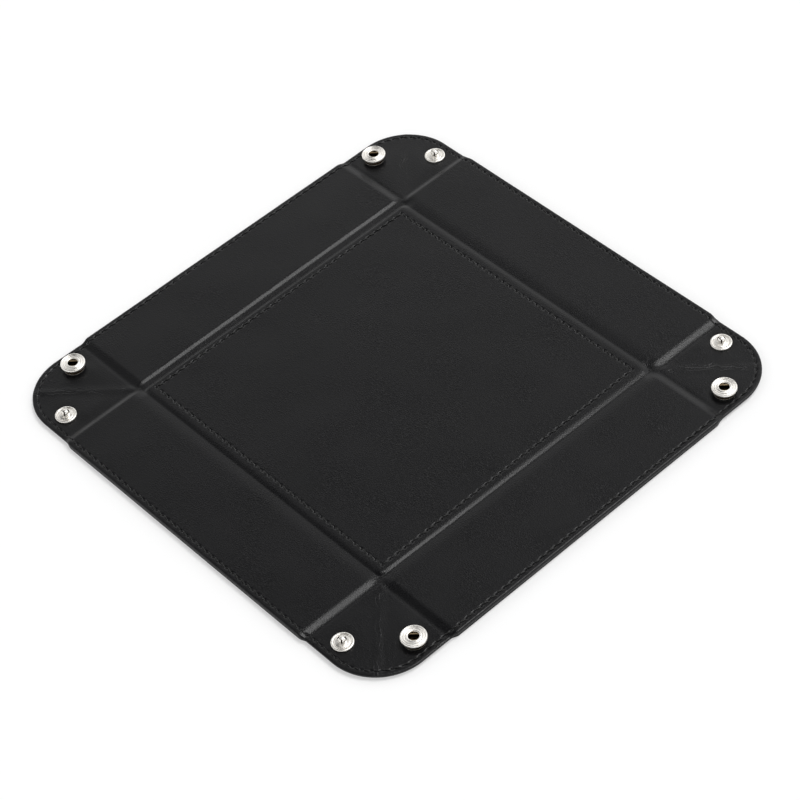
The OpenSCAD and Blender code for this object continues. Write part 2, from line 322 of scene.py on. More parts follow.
# %% Helpers for drawing and extruding rows
def clear_selection():
    """Goes back to object mode with nothing selected."""
    if bpy.context.mode != "OBJECT":
        bpy.ops.object.mode_set(mode="OBJECT")
    bpy.ops.object.select_all(action="DESELECT")


def begin(name):
    """A new object at the origin with one point in it, in edit mode."""
    clear_selection()
    bpy.ops.mesh.primitive_plane_add(size=MM)
    piece = bpy.context.active_object
    piece.name = piece.data.name = name
    bpy.ops.object.mode_set(mode="EDIT")
    bpy.ops.mesh.select_mode(type="VERT")
    bpy.ops.mesh.merge(type="CENTER")
    return piece


def pick_all():
    bpy.ops.mesh.select_all(action="SELECT")


def weld(distance):
    """Merges the points that lie closer together than a distance in millimetres."""
    pick_all()
    bpy.ops.mesh.remove_doubles(threshold=distance * MM)


def push(step):
    """Extrudes what is selected by a step in millimetres."""
    bpy.ops.mesh.extrude_region_move(TRANSFORM_OT_translate={"value": Vector(step) * MM})


def draw_row(name, points):
    piece = begin(name)
    bpy.ops.transform.translate(value=Vector(points[0]) * MM)
    for p, q in zip(points, points[1:]):
        push(Vector(q) - Vector(p))
    bpy.ops.mesh.select_mode(type="EDGE")
    pick_all()
    return piece


def pick_edges(piece, test):
    """Selects the edges whose ends both pass a test of their place in millimetres."""
    bpy.ops.mesh.select_mode(type="EDGE")
    bpy.ops.mesh.select_all(action="DESELECT")
    mesh = bmesh.from_edit_mesh(piece.data)
    for edge in mesh.edges:
        edge.select_set(all(test(v.co / MM) for v in edge.verts))
    bmesh.update_edit_mesh(piece.data)


def run_along(axis, places):
    for p, q in zip(places, places[1:]):
        step = [0, 0, 0]
        step[axis] = q - p
        push(step)


def trim(normal):
    """Cuts along a plane through the origin and drops what lies on its normal's side."""
    pick_all()
    bpy.ops.mesh.bisect(plane_co=(0, 0, 0), plane_no=normal, clear_outer=True, threshold=1e-6)


# %% [markdown]
# The rows' places are lists of distances. Each stitch gets six rows: one at the needle hole, two on
# either side of it, and one in the middle of the stitch. Over the folds the rows lie 0.25 to 0.55 mm
# apart.

# %% Places of the rows
def stitch_rows(first_hole, pitch, start, stop):
    holes = np.arange(first_hole - pitch, stop + pitch, pitch)
    rows = np.concatenate([holes + d for d in (-1.2, -0.45, 0, 0.45, 1.2, pitch / 2)])
    return [float(r) for r in np.sort(rows) if start + 0.2 < r < stop - 0.2]


def merged_rows(*lists):
    rows = []
    for r in sorted(sum(lists, [])):
        if not rows or r - rows[-1] > 0.2:
            rows.append(r)
    return rows


FLOOR_EDGE = 77.2
HINGE_EDGE = 82.6
over_fold = [FLOOR_EDGE, 77.6, 78.0, 78.4, 78.8, 79.2, 79.6, 80.0, 80.25, FOLD,
             80.75, 81.0, 81.3, 81.6, 81.9, 82.2, HINGE_EDGE]
over_panel = [82.95, 83.3, 83.7, 84.1, 84.5, 84.9, 85.3, 85.8, 86.4, 87.2, 88.4, 90, 92, 94, 96, ROUND_C]
over_panel += [ROUND_C + 2.0 * i for i in range(1, 11)] + [119.2, 120.5]
beside_seam = [-1.1, -0.8, -0.55, -0.35, -0.17, 0, 0.17, 0.35, 0.55, 0.8, 1.1]
across_wall = over_fold + over_panel + [EDGE_SEAM + d for d in beside_seam]
seam_strip = [FLOOR_SEAM + d for d in beside_seam[:-1]]
half_floor = merged_rows(stitch_rows(floor_pitch / 2, floor_pitch, 0, 74.6), seam_strip, [FLOOR_EDGE])
across_floor = [-r for r in reversed(half_floor)] + [0.0] + half_floor
half_wall = stitch_rows(wall_pitch / 2, wall_pitch, 0, wall_seam_end) + [wall_seam_end]
along_wall = [-r for r in reversed(half_wall)] + [0.0] + half_wall
over_crease = [float(r) for r in np.arange(76.1, 86.4, 0.45)]
along_corner = merged_rows(
    [wall_seam_end],
    [r for r in stitch_rows(wall_seam_end + corner_pitch / 2, corner_pitch, wall_seam_end, ROUND_C)
     if not 76 < r < 86.4],
    [r for r in over_crease if abs(r - FOLD) > 0.2] + [FOLD],
    [ROUND_C],
)
print("rows across the floor, across and along a wall, along a corner:",
      len(across_floor), len(across_wall), len(along_wall), len(along_corner))

# %% [markdown]
# The upper leather is turned over the edge of the boards, which gives the tray its rounded rim. Its rows
# go on past the flat part, down round the rim and back under it. The lower leather ends just short of the
# rim.

# %% Rims
RIM_MIDDLE, RIM_HALF = 2.19, 1.21
RIM_POWER = 0.62


def upper_rim():
    """Over the edge and back under it. A power below 1 makes the round section a little square."""
    places = []
    for turned in (0, 8, 16, 25, 35, 46, 60, 75, 90, 105, 125, 145, 165):
        out, up = math.sin(math.radians(turned)), math.cos(math.radians(turned))
        height = math.copysign(abs(up) ** RIM_POWER, up)
        places.append((HALF - ROLL + ROLL * out ** RIM_POWER, RIM_MIDDLE + RIM_HALF * height))
    return places


LOWER_RIM = [(124.0, 0.0), (124.4, 0.04), (124.66, 0.16), (124.76, 0.4), (124.74, 0.8)]


def cross_row(rim, start, flat_z, y):
    flat = [(x, y, flat_z) for x in across_wall if x >= start]
    return flat + [(x, y, z) for x, z in rim]


def cut_floor(name, z):
    piece = draw_row(name, [(x, across_floor[0], z) for x in across_floor])
    run_along(1, across_floor)
    return piece


def cut_wall(name, rim, z):
    piece = draw_row(name, cross_row(rim, FLOOR_EDGE, z, -wall_seam_end))
    run_along(1, along_wall)
    for side in ENDS:
        pick_edges(piece, lambda p: abs(p.y - side * wall_seam_end) < 0.01 and p.x < HINGE_EDGE + 0.01)
        run_along(1, [side * r for r in along_corner if r <= FOLD])
        trim((-1, side, 0))
    return piece


def cut_corner(name, rim, z):
    """The front corner piece on the right wall, from the wall to the tray's diagonal."""
    piece = draw_row(name, cross_row(rim, HINGE_EDGE, z, -wall_seam_end))
    run_along(1, [-r for r in along_corner])
    pick_edges(piece, lambda p: abs(p.x - HINGE_EDGE) < 0.01 and p.y < 0.01 - FOLD)
    run_along(0, [x for x in reversed(over_fold) if x >= FOLD])
    trim((-1, -1, 0))
    pick_edges(piece, lambda p: abs(p.y + ROUND_C) < 0.01 and p.x > ROUND_C - 0.01)
    middle = Vector((ROUND_C, -ROUND_C, 0)) * MM
    bpy.ops.mesh.spin(steps=24, angle=math.pi / 4, center=middle, axis=(0, 0, 1))
    weld(0.005)
    return piece


# %% [markdown]
# Pressing moves every point of a flat sheet to the height that the rule gives. On the rim the turned edge
# keeps its round section, squeezed to the leather's thickness there: 2.4 mm over a board, about 1.2 on a
# corner. With no board to hold it out, the rim of a corner also draws in a little, which is the small
# step in the outline that the photograph shows at each end of a wall.

# %% Pressing
def corner_share(b):
    """From 0 along a wall to 1 on its corner pieces."""
    return ease((b - 78) / 3.5)


def draw_in(x, y):
    """Shifts places near the rim inwards where no board holds them out."""
    a, b = out_and_along(x, y)
    da, db = a - ROUND_C, np.clip(b - ROUND_C, 0, None)
    radius = np.maximum(np.hypot(da, db), 1e-6)
    straight = b <= ROUND_C
    inset = HALF - ROUND_C - np.where(straight, da, radius)
    amount = 0.75 * corner_share(b) * ease((7 - inset) / 6) * (a > FOLD)
    return back_to_place(x, y, a - amount * np.where(straight, 1, da / radius),
                         b - amount * np.where(straight, 0, db / radius))


def press(piece, top):
    """Brings a flat sheet to the rule's heights. What is past the flat part follows as a round rim."""
    clear_selection()
    co = np.zeros(len(piece.data.vertices) * 3)
    piece.data.vertices.foreach_get("co", co)
    x, y, z = co.reshape(-1, 3).T / MM
    a, b = out_and_along(x, y)
    da, db = a - ROUND_C, np.clip(b - ROUND_C, 0, None)
    straight = b <= ROUND_C
    radius = np.where(straight, da, np.hypot(da, db))
    rim = HALF - ROLL - ROUND_C
    flat = radius < rim + 1e-4
    back_in = np.where(flat, 1, rim / np.maximum(radius, 1e-6))
    a_flat = np.where(straight, np.where(flat, a, HALF - ROLL), ROUND_C + da * back_in)
    x_flat, y_flat = back_to_place(x, y, a_flat, np.where(straight, b, ROUND_C + db * back_in))
    corner = corner_share(b)
    if top:
        crown = top_height(x_flat, y_flat)
        hem = 0.98 + 0.52 * corner
        turned = (crown + hem) / 2 + (crown - hem) / 2 * (z - RIM_MIDDLE) / RIM_HALF
        z_new = np.where((z < PANEL_TOP - 1e-3) | ~flat, turned, crown)
    else:
        z_new = under_height(x_flat, y_flat) + np.where(z > 1e-3, z * (1 - 0.3 * corner), 0)
    x, y = draw_in(x, y)
    piece.data.vertices.foreach_set("co", (np.stack([x, y, z_new], 1) * MM).ravel())
    piece.data.update()
    return piece


# %% [markdown]
# ## From one sheet to all
#
# A flat sheet is copied to its places round the tray and pressed there. A mirrored copy comes out inside
# out, so its faces are flipped. Then two modifiers finish it: Displace gives the hide its slow waves, a
# tenth of a millimetre high, and Solidify gives it its thickness inwards, so that each sheet is a closed
# shell. The waves of the underside only rise, so that it stays on the table. Last, every point notes its
# place on the flat tray, and the grain will follow that note, so that it bends with the leather.

# %% Placing and finishing a sheet
waves = bpy.data.textures.new("hide waves", "CLOUDS")
waves.noise_scale = 42 * MM
waves.noise_depth = 1
FLAT_PLACE = "flat place"


def make_active(piece):
    clear_selection()
    piece.select_set(True)
    bpy.context.view_layer.objects.active = piece


def copy_to(source, name, turn):
    piece = bpy.data.objects.new(name, source.data.copy())
    piece.data.name = name
    bpy.context.scene.collection.objects.link(piece)
    piece.data.transform(turn)
    if turn.determinant() < 0:
        piece.data.flip_normals()
    return piece


def drop(piece):
    bpy.data.meshes.remove(piece.data)


def apply_modifier(piece, kind, **settings):
    make_active(piece)
    modifier = piece.modifiers.new(kind.lower(), kind)
    for key, value in settings.items():
        setattr(modifier, key, value)
    bpy.ops.object.modifier_apply(modifier=modifier.name)


def smooth(piece, degrees):
    make_active(piece)
    bpy.ops.object.shade_smooth_by_angle(angle=math.radians(degrees))


def finish_sheet(piece, top, thickness):
    """Faces outwards, waves, thickness and shading for a sheet that lies in its place."""
    facing = sum(p.normal.z * p.area for p in piece.data.polygons)
    if (facing > 0) != top:
        piece.data.flip_normals()
    wave_height, still_level = (0.36, 0.5) if top else (0.12, 0)
    apply_modifier(piece, "DISPLACE", texture=waves, texture_coords="LOCAL", direction="Z",
                   strength=wave_height * MM, mid_level=still_level)
    apply_modifier(piece, "SOLIDIFY", thickness=thickness * MM, offset=-1)
    smooth(piece, 50)
    places = np.zeros(len(piece.data.vertices) * 3)
    piece.data.vertices.foreach_get("co", places)
    piece.data.attributes.new(FLAT_PLACE, "FLOAT_VECTOR", "POINT").data.foreach_set("vector", places)


# %% [markdown]
# The floor's sheets hang on the floor's body. The measured part that each piece stands for is hidden.

# %% Both leathers, all round the tray
PANEL_SHEET, CORNER_SHEET = 0.8, 0.5


def blend_at_crease(piece):
    """Bakes a piece's placement into its points."""
    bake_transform(piece)


leathers = {"upper": [], "lower": []}
for layer, face, flat_z, rim in (
    ("upper", "top", PANEL_TOP, upper_rim()),
    ("lower", "bottom", 0.0, LOWER_RIM),
):
    top = face == "top"
    floor_sheet = press(cut_floor(f"floor_{layer}_leather", flat_z), top)
    finish_sheet(floor_sheet, top, PANEL_SHEET)
    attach(floor_sheet, "floor")
    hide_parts(f"floor_{face}_skin")
    leathers[layer].append(floor_sheet)

    wall_sheet = cut_wall("wall_pattern", rim, flat_z)
    corner_sheet = cut_corner("corner_pattern", rim, flat_z)
    bpy.ops.object.mode_set(mode="OBJECT")
    for k in range(4):
        piece = press(copy_to(wall_sheet, f"{wall_body(k)}_{layer}_leather", to_place(k)), top)
        finish_sheet(piece, top, PANEL_SHEET)
        turn = to_place(k)
        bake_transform(piece)
        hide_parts(f"{wall_body(k)}_{face}_skin")
        leathers[layer].append(piece)
        for end in ENDS:
            name = f"{corner_body(k, end)[:-4]}_{layer}_leather"
            piece = press(copy_to(corner_sheet, name, to_place(k, end)), top)
            finish_sheet(piece, top, CORNER_SHEET)
            blend_at_crease(piece)
            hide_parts(corner_body(k, end))
            leathers[layer].append(piece)
    drop(wall_sheet)
    drop(corner_sheet)
    print(layer, "leather:", len(leathers[layer]), "pieces,",
          sum(len(p.data.polygons) for p in leathers[layer]), "faces")

# %% [markdown]
# ## Stitches
#
# Lockstitch shows as a short length of thread between two needle holes, a little slanted, that dives into
# a hole at either end. One stitch is modelled: a thin cylinder, cut into rings, whose end rings are
# lowered and made smaller. It is then laid along each seam, and follows the seam's curve and the
# leather's height as it goes.

# %% One stitch
# Each ring: its place along the stitch, its rise, and its size as a share of the thread's.
STITCH_RINGS = ((1.7, -0.7, 0.6), (1.46, -0.36, 0.85), (1.1, -0.06, 1.0), (0.6, 0.05, 1.06))
THREAD_R = 0.34


def draw_stitch(name):
    clear_selection()
    bpy.ops.mesh.primitive_cylinder_add(vertices=10, radius=THREAD_R * MM,
                                        depth=2 * STITCH_RINGS[0][0] * MM, rotation=(0, math.pi / 2, 0))
    piece = bpy.context.active_object
    piece.name = piece.data.name = name
    bpy.ops.object.transform_apply()
    bpy.ops.object.mode_set(mode="EDIT")
    for x in [side * ring[0] for ring in STITCH_RINGS[1:] for side in ENDS] + [0]:
        pick_all()
        bpy.ops.mesh.bisect(plane_co=(x * MM, 0, 0), plane_no=(1, 0, 0))
    for side in ENDS:
        for x, rise, size in STITCH_RINGS:
            pick_edges(piece, lambda p: abs(p.x - side * x) < 0.01)
            bpy.ops.transform.resize(value=(1, size, size * 0.9), center_override=(side * x * MM, 0, 0))
            bpy.ops.transform.translate(value=(0, 0, rise * MM))
    bpy.ops.object.mode_set(mode="OBJECT")
    return piece


def points_and_faces(piece):
    points = np.array([v.co / MM for v in piece.data.vertices])
    return points, [tuple(p.vertices) for p in piece.data.polygons]


whole = draw_stitch("stitch_pattern")
half = copy_to(whole, "half_stitch_pattern", Matrix.Identity(4))
make_active(half)
bpy.ops.object.mode_set(mode="EDIT")
pick_all()
bpy.ops.mesh.bisect(plane_co=(0, 0, 0), plane_no=(1, 0, 0), use_fill=True, clear_outer=True)
bpy.ops.object.mode_set(mode="OBJECT")
stitch, half_stitch = points_and_faces(whole), points_and_faces(half)
drop(whole)
drop(half)
print("a stitch has", len(stitch[1]), "faces")


# %% [markdown]
# The two seams slant opposite ways, as the photograph shows, and so do the two faces of one seam. The
# thread lies on the leather on top, and is sunk a little deeper on the underside.

# %% Laying stitches along a seam
SLANT = 0.3
SUNK_ON_TOP, SUNK_BELOW = 0.02, 0.42


def on_floor_seam(along, across):
    return FLOOR_SEAM + across, along


def on_edge_seam(along, across):
    """Along the right wall's front half, and round its front corner."""
    turned = np.clip((along - ROUND_C) / corner_arc_r, 0, None)
    radius = corner_arc_r + across
    x = np.where(along > ROUND_C, ROUND_C + radius * np.cos(turned), EDGE_SEAM + across)
    y = np.where(along > ROUND_C, ROUND_C + radius * np.sin(turned), along)
    return x, -y


def lay(seam, centres, top, turn, mirrored=False, ends_half=False):
    """One run of stitches on the top or the underside. A half stitch can end it, at a corner's diagonal."""
    points, faces = [], []
    for i, centre in enumerate(centres):
        shape, sides = half_stitch if ends_half and i == len(centres) - 1 else stitch
        u, v, w = shape.T
        if not top:
            v, w = -v, -w
        leans_out = (mirrored != top) == (seam is on_floor_seam)
        v = v + SLANT * u * (1 if leans_out else -1)
        x, y = np.array(turn)[:2, :2] @ np.stack(seam(centre + u, v))
        z = w + (top_level(x, y) - SUNK_ON_TOP if top else under_level(x, y) + SUNK_BELOW)
        x, y = draw_in(x, y)
        first = len(points)
        points += [Vector(p) * MM for p in zip(x, y, z)]
        inside_out = (turn.determinant() < 0) != (seam is on_floor_seam)
        faces += [tuple(first + j for j in (reversed(f) if inside_out else f)) for f in sides]
    mesh = bpy.data.meshes.new("run")
    mesh.from_pydata(points, [], faces)
    piece = bpy.data.objects.new("run", mesh)
    bpy.context.scene.collection.objects.link(piece)
    smooth(piece, 60)
    return piece


threads = []


def join(runs, name, measured_seam):
    """Makes one thread of its runs. It stands for a seam of the measured tray."""
    make_active(runs[0])
    for run in runs:
        run.select_set(True)
    bpy.ops.object.join()
    runs[0].name = runs[0].data.name = name
    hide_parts(measured_seam)
    threads.append(runs[0])
    return runs[0]


floor_centres = [(i - 17) * floor_pitch for i in range(35)]
wall_centres = [(i - 17) * wall_pitch for i in range(35)]
corner_centres = [wall_seam_end + (i + 1) * corner_pitch for i in range(10)]
runs = [lay(on_floor_seam, floor_centres, top, to_place(k)) for k in range(4) for top in (True, False)]
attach(join(runs, "floor_thread", "floor_seam"), "floor")
for k in range(4):
    wall = wall_body(k)
    runs = [lay(on_edge_seam, wall_centres, top, to_place(k)) for top in (True, False)]
    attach(join(runs, wall + "_thread", wall + "_seam"), wall)
    for end in ENDS:
        ear = corner_body(k, end)
        runs = [lay(on_edge_seam, corner_centres, top, to_place(k, end), end > 0, True)
                for top in (True, False)]
        blend_at_crease(join(runs, ear[:-4] + "_thread", ear + "_seam"))
print("threads:", len(threads), "pieces,", sum(len(p.data.polygons) for p in threads), "faces")

# %% [markdown]
# ## Snaps
#
# A ball snap has four kinds of part, all turned from sheet metal and nickel plated. The socket has a
# rolled rim, shallow rings on its face and two spring wires beside its mouth. The stud is a rimmed disc
# with a slit ball post. Under the leather each has a cap whose barrel comes up through the leather. Round
# parts are spun: half of the section is drawn as a row of points, and the row is spun round the axis.

# %% Spinning a turned part
TURN_STEPS = 72


def spin_part(name, section):
    """Spins a closed section of (radius, height) points."""
    piece = draw_row(name, [(r, 0, z) for r, z in section + section[:1]])
    weld(0.004)
    pick_all()
    bpy.ops.mesh.spin(steps=TURN_STEPS, angle=2 * math.pi, center=(0, 0, 0), axis=(0, 0, 1))
    weld(0.004)
    bpy.ops.mesh.normals_make_consistent(inside=False)
    bpy.ops.object.mode_set(mode="OBJECT")
    return piece


SOCKET_SECTION = [
    # Base flange
    (1.2, 0.0), (4.72, 0.0), (4.88, 0.1), (4.9, 0.4), (4.8, 0.56), (4.6, 0.62), (4.38, 0.66),
    # Neck
    (4.3, 0.8), (4.3, 1.8), (4.4, 1.95),
    # Rolled rim of the head
    (4.7, 2.02), (5.1, 2.04), (5.45, 2.14), (5.7, 2.38), (5.83, 2.7), (5.84, 3.0), (5.76, 3.35),
    (5.58, 3.62), (5.34, 3.77), (5.14, 3.8), (5.0, 3.74), (4.92, 3.62),
    # Face, with one raised ring and the lip round the mouth
    (4.8, 3.56), (4.45, 3.55), (4.37, 3.6), (4.3, 3.7), (4.15, 3.76), (4.0, 3.7), (3.93, 3.6), (3.85, 3.55),
    (3.45, 3.56), (3.32, 3.64), (3.2, 3.75), (3.0, 3.79), (2.7, 3.76), (2.5, 3.68), (2.4, 3.5), (2.4, 3.12),
    # Chamber of the springs, and the bore down to the flange
    (2.55, 3.08), (4.95, 3.08), (4.95, 2.3), (3.4, 2.3), (3.4, 0.6), (1.2, 0.6),
]
BALL_R, BALL_MIDDLE = 1.95, 2.4
STUD_SECTION = [
    # Base disc with its rolled rim
    (1.16, 0.0), (4.7, 0.0), (4.9, 0.1), (4.99, 0.3), (5.0, 0.65), (4.92, 0.92), (4.74, 1.08), (4.5, 1.12),
    # Groove inside the rim
    (4.2, 1.1), (4.02, 1.06), (3.94, 0.96), (3.9, 0.82),
    (3.5, 0.82), (3.46, 0.96), (3.38, 1.06), (3.2, 1.1),
    # Foot of the post
    (2.1, 1.1), (1.7, 1.16), (1.52, 1.3), (1.46, 1.5),
]
for turned in np.radians(range(-33, 49, 9)).tolist():
    STUD_SECTION.append((BALL_R * math.cos(turned), BALL_MIDDLE + BALL_R * math.sin(turned)))
STUD_SECTION += [(1.16, 3.88), (1.12, 3.8), (1.12, 0.2)]

CAP_SECTION = [
    (0.0, 0.0), (4.4, 0.0), (4.7, 0.04), (4.9, 0.1), (5.1, 0.04), (5.5, 0.0), (5.85, 0.05), (6.1, 0.18),
    (6.24, 0.42), (6.15, 0.65), (5.9, 0.78), (5.6, 0.8), (1.1, 0.8),
]


def cap_with_flare(top):
    """A cap whose barrel is riveted outwards inside the socket."""
    flare = [(1.1, top - 0.4), (1.75, top - 0.36), (1.9, top - 0.2), (1.75, top - 0.04), (1.4, top)]
    return CAP_SECTION + flare + [(0.85, top), (0.8, top - 0.06), (0.8, 0.8), (0.0, 0.8)]


def cap_with_dome(top):
    """A cap whose barrel is closed by a small dome inside the stud's ball."""
    return CAP_SECTION + [(1.1, top - 0.2), (1.0, top - 0.05), (0.6, top + 0.05), (0.0, top + 0.08)]


socket_pattern = spin_part("socket_pattern", SOCKET_SECTION)
stud_pattern = spin_part("stud_pattern", STUD_SECTION)
socket_cap_pattern = spin_part("socket_cap_pattern", cap_with_flare(3.6))
stud_cap_pattern = spin_part("stud_cap_pattern", cap_with_dome(6.4))
print("faces of socket, stud and caps:", [len(p.data.polygons) for p in
      (socket_pattern, stud_pattern, socket_cap_pattern, stud_cap_pattern)])

# %% [markdown]
# The stud's post is slit crosswise so that its ball can spring inwards. A Boolean modifier cuts the two
# slits with thin boxes. Each spring wire starts as a circle, is extruded along the mouth and spun into a
# hook at either end.

# %% Slits and springs
BLADE = Vector((6, 0.65, 3)) * MM
BLADE_PLACE = (0, 0, 3.1 * MM)
WIRE_R = 0.35
WIRE_HALF = 2.3
HOOK_R = 1
HOOK_TURN = math.radians(100)

for turn in (0, 90):
    clear_selection()
    bpy.ops.mesh.primitive_cube_add(size=1, location=BLADE_PLACE, rotation=(0, 0, math.radians(turn)))
    blade = bpy.context.active_object
    bpy.ops.object.mode_set(mode="EDIT")
    bpy.ops.transform.resize(value=BLADE, orient_type="LOCAL", center_override=BLADE_PLACE)
    bpy.ops.object.mode_set(mode="OBJECT")
    apply_modifier(stud_pattern, "BOOLEAN", object=blade, operation="DIFFERENCE", solver="EXACT")
    drop(blade)


def draw_wire(name):
    clear_selection()
    bpy.ops.mesh.primitive_circle_add(vertices=14, radius=WIRE_R * MM, rotation=(0, math.pi / 2, 0),
                                      location=(-WIRE_HALF * MM, 0, 0))
    piece = bpy.context.active_object
    piece.name = piece.data.name = name
    bpy.ops.object.transform_apply()
    bpy.ops.object.mode_set(mode="EDIT")
    for side in ENDS:
        if side > 0:
            pick_edges(piece, lambda p: abs(p.x + WIRE_HALF) < 0.01)
            push((2 * WIRE_HALF, 0, 0))
        bpy.ops.mesh.spin(steps=9, angle=side * HOOK_TURN, axis=(0, 0, 1),
                          center=(side * WIRE_HALF * MM, HOOK_R * MM, 0))
        bpy.ops.mesh.edge_face_add()
        if side < 0:
            bpy.ops.mesh.select_all(action="DESELECT")
    weld(0.01)
    bpy.ops.mesh.normals_make_consistent(inside=False)
    bpy.ops.object.mode_set(mode="OBJECT")
    return piece


wire = draw_wire("wire_pattern")
print("stud with slits:", len(stud_pattern.data.polygons), "faces; wire:", len(wire.data.polygons))

# %% [markdown]
# Sockets stand on the corner pieces of the left and right walls, and studs on those of the front and back
# walls. A corner is named after its front or back wall first.

# %% Snaps in their corners
SPRING_HEIGHT = CORNER_TOP + 2.7
SPRING_ASIDE = 1.75
snaps = {"nickel": [], "wire": []}


def set_snap(pattern, own_name, measured_name, k, end, z, spun=0, aside=0):
    """Copies a part to the snap's place. Turned parts are the same mirrored, so only the place is."""
    spot = to_place(k, end) @ Vector((SNAP_X, -SNAP_Y, 0))
    spot.z = z
    spin = Matrix.Rotation(math.radians(spun), 4, "Z") @ Matrix.Translation(Vector((0, aside, 0)) * MM)
    walls = [SIDES[k], neighbour(k, end)]
    corner = "_".join(walls if k % 2 else reversed(walls))
    piece = copy_to(pattern, f"{corner}_{own_name}", Matrix.Translation(spot * MM) @ spin)
    smooth(piece, 40)
    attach(piece, corner_body(k, end))
    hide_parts(f"{corner}_{measured_name}")
    return piece


for k in range(4):
    for end in ENDS:
        if k % 2:
            snaps["nickel"] += [
                set_snap(stud_pattern, "stud_post", "stud", k, end, CORNER_TOP, 45),
                set_snap(stud_cap_pattern, "stud_rivet_cap", "stud_cap", k, end, 0),
            ]
            continue
        snaps["nickel"] += [
            set_snap(socket_pattern, "socket_shell", "socket", k, end, CORNER_TOP),
            set_snap(socket_cap_pattern, "socket_rivet_cap", "socket_cap", k, end, 0),
        ]
        for number, spun in ((1, 45), (2, 225)):
            spring = set_snap(wire, f"spring_wire_{number}", "socket_springs", k, end,
                              SPRING_HEIGHT, spun, SPRING_ASIDE)
            snaps["wire"].append(spring)
for pattern in (socket_pattern, stud_pattern, socket_cap_pattern, stud_cap_pattern, wire):
    drop(pattern)
print("snap parts:", {kind: len(parts) for kind, parts in snaps.items()})

# %% [markdown]
# ## Finishes
#
# A finish is a small network of shader nodes. The leather's grain is used by both leathers, so it is a
# group with its own inputs: fine pebbles, each a cell of a Voronoi pattern, parted by narrow valleys,
# over a still finer pore. The patterns read Object coordinates or, on the leathers, the note of each
# point's flat place, so that they stay on a piece when it moves. Distances are turned into millimetres
# first, which makes the numbers easy to read.

# %% Helpers for shader nodes
def new_group(name, inputs, outputs):
    tree = bpy.data.node_groups.new(name, "ShaderNodeTree")
    for socket, kind, value in inputs:
        made = tree.interface.new_socket(socket, in_out="INPUT", socket_type=kind)
        if value is not None:
            made.default_value = value
    for socket, kind in outputs:
        tree.interface.new_socket(socket, in_out="OUTPUT", socket_type=kind)
    return tree, tree.nodes.new("NodeGroupInput"), tree.nodes.new("NodeGroupOutput")


def node(tree, kind, links=(), **settings):
    """Adds a node, sets its properties and sockets by name, and links (its input, from socket) pairs."""
    made = tree.nodes.new(kind)
    for key, value in settings.items():
        if hasattr(made, key):
            setattr(made, key, value)
        else:
            made.inputs[key.replace("_", " ")].default_value = value
    for socket, source in links:
        tree.links.new(made.inputs[socket], source)
    return made


def maths(tree, operation, *values):
    """One step of arithmetic, on sockets or plain numbers."""
    made = node(tree, "ShaderNodeMath", operation=operation)
    for i, value in enumerate(values):
        if isinstance(value, (int, float)):
            made.inputs[i].default_value = value
        else:
            tree.links.new(made.inputs[i], value)
    return made.outputs[0]


def ranged(tree, factor, low, high, start=0.0, stop=1.0):
    made = node(tree, "ShaderNodeMapRange", [("Value", factor)])
    for socket, value in (("From Min", start), ("From Max", stop), ("To Min", low), ("To Max", high)):
        made.inputs[socket].default_value = value
    return made.outputs[0]


def in_millimetres(tree, place):
    return node(tree, "ShaderNodeVectorMath", [(0, place)], operation="SCALE", Scale=1000.0).outputs[0]


def noise(tree, spot, scale, detail):
    return node(tree, "ShaderNodeTexNoise", [("Vector", spot)], Scale=scale, Detail=detail).outputs["Fac"]


def new_material(name):
    material = bpy.data.materials.new(name)
    material.use_nodes = True
    tree = material.node_tree
    tree.nodes.clear()
    output = tree.nodes.new("ShaderNodeOutputMaterial")
    shader = tree.nodes.new("ShaderNodeBsdfPrincipled")
    tree.links.new(output.inputs["Surface"], shader.outputs[0])
    place = node(tree, "ShaderNodeTexCoord").outputs["Object"]
    return material, tree, shader, place


def mixed_colour(tree, factor, dark, light):
    """The Mix node's sockets share their names, so its two colours and its result go by number."""
    mix = node(tree, "ShaderNodeMix", data_type="RGBA")
    mix.inputs[6].default_value, mix.inputs[7].default_value = (*dark, 1), (*light, 1)
    tree.links.new(mix.inputs[0], factor)
    return mix.outputs[2]


def dress(tree, shader, colour, height, depth, strength=1.0):
    """Sends a colour, and a height pattern whose depth is in millimetres, to the shader."""
    bump = node(tree, "ShaderNodeBump", [("Height", height)], Strength=strength, Distance=depth * MM)
    tree.links.new(shader.inputs["Base Color"], colour)
    tree.links.new(shader.inputs["Normal"], bump.outputs[0])


# %% Leather grain
grain, given, result = new_group(
    "leather grain",
    [("Place", "NodeSocketVector", None), ("Pebbles per mm", "NodeSocketFloat", 0.95),
     ("Pore depth", "NodeSocketFloat", 0.25)],
    [("Height", "NodeSocketFloat"), ("Mottle", "NodeSocketFloat"), ("Worn", "NodeSocketFloat")],
)
spot = in_millimetres(grain, given.outputs["Place"])
bends = node(grain, "ShaderNodeTexNoise", [("Vector", spot)], Scale=0.55, Detail=2.0).outputs["Color"]
drift = node(grain, "ShaderNodeVectorMath", [(0, bends)], operation="SCALE", Scale=0.9).outputs[0]
drifted = node(grain, "ShaderNodeVectorMath", [(0, spot), (1, drift)]).outputs[0]
cells = node(grain, "ShaderNodeTexVoronoi", [("Vector", drifted)], feature="DISTANCE_TO_EDGE")
grain.links.new(cells.inputs["Scale"], given.outputs["Pebbles per mm"])
domed = node(grain, "ShaderNodeMapRange", [("Value", cells.outputs["Distance"])],
             interpolation_type="SMOOTHSTEP", From_Max=0.42)
pores = noise(grain, spot, 3.6, 3.0)
firm = ranged(grain, noise(grain, spot, 0.045, 2.0), 0.45, 1.0, 0.35, 0.7)
pebbled = maths(grain, "MULTIPLY", domed.outputs[0], firm)
height = maths(grain, "ADD", pebbled, maths(grain, "MULTIPLY", pores, given.outputs["Pore depth"]))
